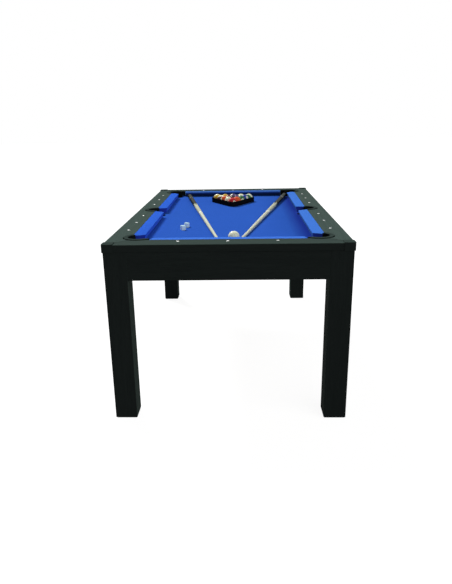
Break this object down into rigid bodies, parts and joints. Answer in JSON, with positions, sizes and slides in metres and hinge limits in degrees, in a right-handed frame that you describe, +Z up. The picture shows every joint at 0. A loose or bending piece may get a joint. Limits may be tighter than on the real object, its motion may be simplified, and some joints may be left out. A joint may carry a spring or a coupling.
{
  "type": "pool table",
  "caption": "Black dining-height pool table with square legs, blue cloth, six drop pockets, two cues, racked balls and chalk.",
  "frame": {"origin": "on the floor, centred under the table", "axes": "+X across the table to the right, +Y along the table away from the viewer, +Z up"},
  "size_m": [1.05, 1.83, 0.8281],
  "materials": {
    "black_laminate": "black wood-grain foil on fibreboard, satin",
    "sight_pearl": "pearl white",
    "blue_cloth": "napped blue billiard cloth",
    "cushion_rubber": "moulded rubber",
    "black_plastic": "moulded, satin",
    "bed_mdf": "raw fibreboard",
    "support_pine": "planed pine",
    "zinc_steel": "zinc plated",
    "foot_plastic": "moulded",
    "cue_maple": "lacquered maple",
    "cue_black": "black lacquer",
    "chalk_blue": "pressed chalk in a pale paper label",
    "ball_ivory": "polished",
    "ball_yellow": "polished",
    "ball_blue": "polished",
    "ball_red": "polished",
    "ball_purple": "polished",
    "ball_orange": "polished",
    "ball_green": "polished",
    "ball_maroon": "polished",
    "ball_black": "polished"
  },
  "bodies": {
    "table": {"apron_far": "black_laminate", "apron_left": "black_laminate", "apron_near": "black_laminate", "apron_right": "black_laminate", "bed_board": "bed_mdf", "bed_cloth": "blue_cloth", "bed_supports": "support_pine", "corner_caps": "black_plastic", "cushion_cloths": "blue_cloth", "cushion_far": "cushion_rubber", "cushion_left_far": "cushion_rubber", "cushion_left_near": "cushion_rubber", "cushion_near": "cushion_rubber", "cushion_right_far": "cushion_rubber", "cushion_right_near": "cushion_rubber", "foot_nuts": "zinc_steel", "frame_bolts": "zinc_steel", "leg_brackets": "zinc_steel", "leg_far_left": "black_laminate", "leg_far_right": "black_laminate", "leg_near_left": "black_laminate", "leg_near_right": "black_laminate", "pocket_far_left": "black_plastic", "pocket_far_right": "black_plastic", "pocket_near_left": "black_plastic", "pocket_near_right": "black_plastic", "pocket_side_left": "black_plastic", "pocket_side_right": "black_plastic", "rail_far": "black_laminate", "rail_left": "black_laminate", "rail_near": "black_laminate", "rail_right": "black_laminate", "rail_sights": "sight_pearl"},
    "foot_near_left": {"levelling_foot_near_left": "foot_plastic"},
    "foot_near_right": {"levelling_foot_near_right": "foot_plastic"},
    "foot_far_left": {"levelling_foot_far_left": "foot_plastic"},
    "foot_far_right": {"levelling_foot_far_right": "foot_plastic"},
    "triangle": {"ball_triangle": "black_plastic"},
    "cue_ball": {"cue_ball": "ball_ivory"},
    "ball_1": {"ball_1_yellow": "ball_yellow"},
    "ball_2": {"ball_2_blue": "ball_blue"},
    "ball_3": {"ball_3_red": "ball_red"},
    "ball_4": {"ball_4_purple": "ball_purple"},
    "ball_5": {"ball_5_orange": "ball_orange"},
    "ball_6": {"ball_6_green": "ball_green"},
    "ball_7": {"ball_7_maroon": "ball_maroon"},
    "ball_8": {"ball_8_black": "ball_black"},
    "ball_9": {"ball_9_yellow_stripe": "ball_yellow"},
    "ball_10": {"ball_10_blue_stripe": "ball_blue"},
    "ball_11": {"ball_11_red_stripe": "ball_red"},
    "ball_12": {"ball_12_purple_stripe": "ball_purple"},
    "ball_13": {"ball_13_orange_stripe": "ball_orange"},
    "ball_14": {"ball_14_green_stripe": "ball_green"},
    "ball_15": {"ball_15_maroon_stripe": "ball_maroon"},
    "cue_left": {"cue_shaft_left": "cue_maple", "cue_butt_left": "cue_black"},
    "cue_right": {"cue_shaft_right": "cue_maple", "cue_butt_right": "cue_black"},
    "chalk_near_cube": {"chalk_near": "chalk_blue"},
    "chalk_far_cube": {"chalk_far": "chalk_blue"}
  },
  "joints": [
    {"name": "foot_near_left_screw", "type": "slide", "parent": "table", "child": "foot_near_left", "axis": [0, 0, -1], "range_m": [0, 0.02]},
    {"name": "foot_near_right_screw", "type": "slide", "parent": "table", "child": "foot_near_right", "axis": [0, 0, -1], "range_m": [0, 0.02]},
    {"name": "foot_far_left_screw", "type": "slide", "parent": "table", "child": "foot_far_left", "axis": [0, 0, -1], "range_m": [0, 0.02]},
    {"name": "foot_far_right_screw", "type": "slide", "parent": "table", "child": "foot_far_right", "axis": [0, 0, -1], "range_m": [0, 0.02]},
    {"name": "triangle_lift", "type": "slide", "parent": "table", "child": "triangle", "axis": [0, 0, 1], "range_m": [0, 0.25]},
    {"name": "cue_ball_lift", "type": "slide", "parent": "table", "child": "cue_ball", "axis": [0, 0, 1], "range_m": [0, 0.25]},
    {"name": "ball_1_lift", "type": "slide", "parent": "table", "child": "ball_1", "axis": [0, 0, 1], "range_m": [0, 0.25]},
    {"name": "ball_2_lift", "type": "slide", "parent": "table", "child": "ball_2", "axis": [0, 0, 1], "range_m": [0, 0.25]},
    {"name": "ball_3_lift", "type": "slide", "parent": "table", "child": "ball_3", "axis": [0, 0, 1], "range_m": [0, 0.25]},
    {"name": "ball_4_lift", "type": "slide", "parent": "table", "child": "ball_4", "axis": [0, 0, 1], "range_m": [0, 0.25]},
    {"name": "ball_5_lift", "type": "slide", "parent": "table", "child": "ball_5", "axis": [0, 0, 1], "range_m": [0, 0.25]},
    {"name": "ball_6_lift", "type": "slide", "parent": "table", "child": "ball_6", "axis": [0, 0, 1], "range_m": [0, 0.25]},
    {"name": "ball_7_lift", "type": "slide", "parent": "table", "child": "ball_7", "axis": [0, 0, 1], "range_m": [0, 0.25]},
    {"name": "ball_8_lift", "type": "slide", "parent": "table", "child": "ball_8", "axis": [0, 0, 1], "range_m": [0, 0.25]},
    {"name": "ball_9_lift", "type": "slide", "parent": "table", "child": "ball_9", "axis": [0, 0, 1], "range_m": [0, 0.25]},
    {"name": "ball_10_lift", "type": "slide", "parent": "table", "child": "ball_10", "axis": [0, 0, 1], "range_m": [0, 0.25]},
    {"name": "ball_11_lift", "type": "slide", "parent": "table", "child": "ball_11", "axis": [0, 0, 1], "range_m": [0, 0.25]},
    {"name": "ball_12_lift", "type": "slide", "parent": "table", "child": "ball_12", "axis": [0, 0, 1], "range_m": [0, 0.25]},
    {"name": "ball_13_lift", "type": "slide", "parent": "table", "child": "ball_13", "axis": [0, 0, 1], "range_m": [0, 0.25]},
    {"name": "ball_14_lift", "type": "slide", "parent": "table", "child": "ball_14", "axis": [0, 0, 1], "range_m": [0, 0.25]},
    {"name": "ball_15_lift", "type": "slide", "parent": "table", "child": "ball_15", "axis": [0, 0, 1], "range_m": [0, 0.25]},
    {"name": "cue_left_lift", "type": "slide", "parent": "table", "child": "cue_left", "axis": [0, 0, 1], "range_m": [0, 0.3]},
    {"name": "cue_right_lift", "type": "slide", "parent": "table", "child": "cue_right", "axis": [0, 0, 1], "range_m": [0, 0.3]},
    {"name": "chalk_near_lift", "type": "slide", "parent": "table", "child": "chalk_near_cube", "axis": [0, 0, 1], "range_m": [0, 0.25]},
    {"name": "chalk_far_lift", "type": "slide", "parent": "table", "child": "chalk_far_cube", "axis": [0, 0, 1], "range_m": [0, 0.25]}
  ]
}
